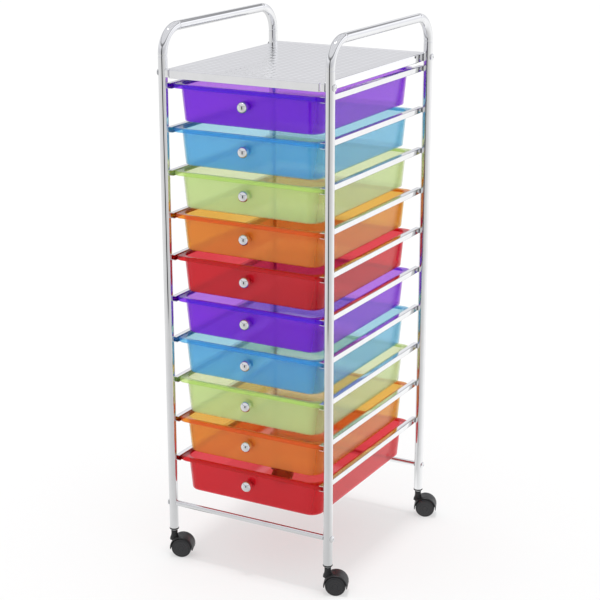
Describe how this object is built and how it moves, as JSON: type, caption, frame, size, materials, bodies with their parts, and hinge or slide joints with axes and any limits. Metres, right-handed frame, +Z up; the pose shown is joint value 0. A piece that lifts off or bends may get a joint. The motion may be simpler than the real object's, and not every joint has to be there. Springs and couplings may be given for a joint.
{
  "type": "rolling drawer cart",
  "caption": "Rolling cart of chromed tube with a stack of translucent coloured drawers on rails, a flat top shelf, side handles and twin wheel casters.",
  "frame": {"origin": "on the floor, in the middle of the four casters' axles, which is the bottom centre of the bounding box", "axes": "+Z up, -Y to the front with the knobs, +X to the cart's right seen from the front"},
  "size_m": [0.364, 0.4132, 0.959],
  "materials": {
    "chrome_tube": "polished",
    "chrome_rail": "polished",
    "chrome_shelf": "embossed and polished",
    "chrome_fastener": "polished",
    "chrome_knob": "polished",
    "zinc_fastener": "zinc plated",
    "black_plastic": "fine grain",
    "wheel_plastic": "satin",
    "purple_plastic": "translucent gloss",
    "blue_plastic": "translucent gloss",
    "green_plastic": "translucent gloss",
    "orange_plastic": "translucent gloss",
    "red_plastic": "translucent gloss"
  },
  "bodies": {
    "frame": {"left_side_tube": "chrome_tube", "right_side_tube": "chrome_tube", "left_rails": "chrome_rail", "right_rails": "chrome_rail", "top_shelf": "chrome_shelf", "shelf_bolts": "chrome_fastener", "shelf_nuts": "zinc_fastener", "front_cross_rod": "chrome_tube", "rear_cross_rod": "chrome_tube", "rod_bolts": "chrome_fastener", "leg_sockets": "black_plastic", "caster_stems": "zinc_fastener"},
    "drawer_1_body": {"drawer_1": "purple_plastic", "knob_1": "chrome_knob", "knob_screw_1": "zinc_fastener"},
    "drawer_2_body": {"drawer_2": "blue_plastic", "knob_2": "chrome_knob", "knob_screw_2": "zinc_fastener"},
    "drawer_3_body": {"drawer_3": "green_plastic", "knob_3": "chrome_knob", "knob_screw_3": "zinc_fastener"},
    "drawer_4_body": {"drawer_4": "orange_plastic", "knob_4": "chrome_knob", "knob_screw_4": "zinc_fastener"},
    "drawer_5_body": {"drawer_5": "red_plastic", "knob_5": "chrome_knob", "knob_screw_5": "zinc_fastener"},
    "drawer_6_body": {"drawer_6": "purple_plastic", "knob_6": "chrome_knob", "knob_screw_6": "zinc_fastener"},
    "drawer_7_body": {"drawer_7": "blue_plastic", "knob_7": "chrome_knob", "knob_screw_7": "zinc_fastener"},
    "drawer_8_body": {"drawer_8": "green_plastic", "knob_8": "chrome_knob", "knob_screw_8": "zinc_fastener"},
    "drawer_9_body": {"drawer_9": "orange_plastic", "knob_9": "chrome_knob", "knob_screw_9": "zinc_fastener"},
    "drawer_10_body": {"drawer_10": "red_plastic", "knob_10": "chrome_knob", "knob_screw_10": "zinc_fastener"},
    "front_left_caster": {"front_left_hood": "black_plastic", "front_left_axle": "zinc_fastener"},
    "front_left_wheel_front_body": {"front_left_wheel_front": "wheel_plastic"},
    "front_left_wheel_back_body": {"front_left_wheel_back": "wheel_plastic"},
    "front_right_caster": {"front_right_hood": "black_plastic", "front_right_axle": "zinc_fastener"},
    "front_right_wheel_front_body": {"front_right_wheel_front": "wheel_plastic"},
    "front_right_wheel_back_body": {"front_right_wheel_back": "wheel_plastic"},
    "rear_left_caster": {"rear_left_hood": "black_plastic", "rear_left_axle": "zinc_fastener"},
    "rear_left_wheel_front_body": {"rear_left_wheel_front": "wheel_plastic"},
    "rear_left_wheel_back_body": {"rear_left_wheel_back": "wheel_plastic"},
    "rear_right_caster": {"rear_right_hood": "black_plastic", "rear_right_axle": "zinc_fastener"},
    "rear_right_wheel_front_body": {"rear_right_wheel_front": "wheel_plastic"},
    "rear_right_wheel_back_body": {"rear_right_wheel_back": "wheel_plastic"}
  },
  "joints": [
    {"name": "drawer_1_slide", "type": "slide", "parent": "frame", "child": "drawer_1_body", "axis": [0, -1, 0], "range_m": [0, 0.3]},
    {"name": "drawer_2_slide", "type": "slide", "parent": "frame", "child": "drawer_2_body", "axis": [0, -1, 0], "range_m": [0, 0.3]},
    {"name": "drawer_3_slide", "type": "slide", "parent": "frame", "child": "drawer_3_body", "axis": [0, -1, 0], "range_m": [0, 0.3]},
    {"name": "drawer_4_slide", "type": "slide", "parent": "frame", "child": "drawer_4_body", "axis": [0, -1, 0], "range_m": [0, 0.3]},
    {"name": "drawer_5_slide", "type": "slide", "parent": "frame", "child": "drawer_5_body", "axis": [0, -1, 0], "range_m": [0, 0.3]},
    {"name": "drawer_6_slide", "type": "slide", "parent": "frame", "child": "drawer_6_body", "axis": [0, -1, 0], "range_m": [0, 0.3]},
    {"name": "drawer_7_slide", "type": "slide", "parent": "frame", "child": "drawer_7_body", "axis": [0, -1, 0], "range_m": [0, 0.3]},
    {"name": "drawer_8_slide", "type": "slide", "parent": "frame", "child": "drawer_8_body", "axis": [0, -1, 0], "range_m": [0, 0.3]},
    {"name": "drawer_9_slide", "type": "slide", "parent": "frame", "child": "drawer_9_body", "axis": [0, -1, 0], "range_m": [0, 0.3]},
    {"name": "drawer_10_slide", "type": "slide", "parent": "frame", "child": "drawer_10_body", "axis": [0, -1, 0], "range_m": [0, 0.3]},
    {"name": "front_left_swivel", "type": "hinge", "parent": "frame", "child": "front_left_caster", "pos_m": [-0.17054, -0.1902, 0.044], "axis": [0, 0, 1], "continuous": true},
    {"name": "front_left_wheel_front_roll", "type": "hinge", "parent": "front_left_caster", "child": "front_left_wheel_front_body", "pos_m": [-0.157, -0.185, 0.018], "axis": [-0.3584, 0.9336, 0], "continuous": true},
    {"name": "front_left_wheel_back_roll", "type": "hinge", "parent": "front_left_caster", "child": "front_left_wheel_back_body", "pos_m": [-0.157, -0.185, 0.018], "axis": [-0.3584, 0.9336, 0], "continuous": true},
    {"name": "front_right_swivel", "type": "hinge", "parent": "frame", "child": "front_right_caster", "pos_m": [0.14346, -0.1902, 0.044], "axis": [0, 0, 1], "continuous": true},
    {"name": "front_right_wheel_front_roll", "type": "hinge", "parent": "front_right_caster", "child": "front_right_wheel_front_body", "pos_m": [0.157, -0.185, 0.018], "axis": [-0.3584, 0.9336, 0], "continuous": true},
    {"name": "front_right_wheel_back_roll", "type": "hinge", "parent": "front_right_caster", "child": "front_right_wheel_back_body", "pos_m": [0.157, -0.185, 0.018], "axis": [-0.3584, 0.9336, 0], "continuous": true},
    {"name": "rear_left_swivel", "type": "hinge", "parent": "frame", "child": "rear_left_caster", "pos_m": [-0.17054, 0.1798, 0.044], "axis": [0, 0, 1], "continuous": true},
    {"name": "rear_left_wheel_front_roll", "type": "hinge", "parent": "rear_left_caster", "child": "rear_left_wheel_front_body", "pos_m": [-0.157, 0.185, 0.018], "axis": [-0.3584, 0.9336, 0], "continuous": true},
    {"name": "rear_left_wheel_back_roll", "type": "hinge", "parent": "rear_left_caster", "child": "rear_left_wheel_back_body", "pos_m": [-0.157, 0.185, 0.018], "axis": [-0.3584, 0.9336, 0], "continuous": true},
    {"name": "rear_right_swivel", "type": "hinge", "parent": "frame", "child": "rear_right_caster", "pos_m": [0.14346, 0.1798, 0.044], "axis": [0, 0, 1], "continuous": true},
    {"name": "rear_right_wheel_front_roll", "type": "hinge", "parent": "rear_right_caster", "child": "rear_right_wheel_front_body", "pos_m": [0.157, 0.185, 0.018], "axis": [-0.3584, 0.9336, 0], "continuous": true},
    {"name": "rear_right_wheel_back_roll", "type": "hinge", "parent": "rear_right_caster", "child": "rear_right_wheel_back_body", "pos_m": [0.157, 0.185, 0.018], "axis": [-0.3584, 0.9336, 0], "continuous": true}
  ]
}
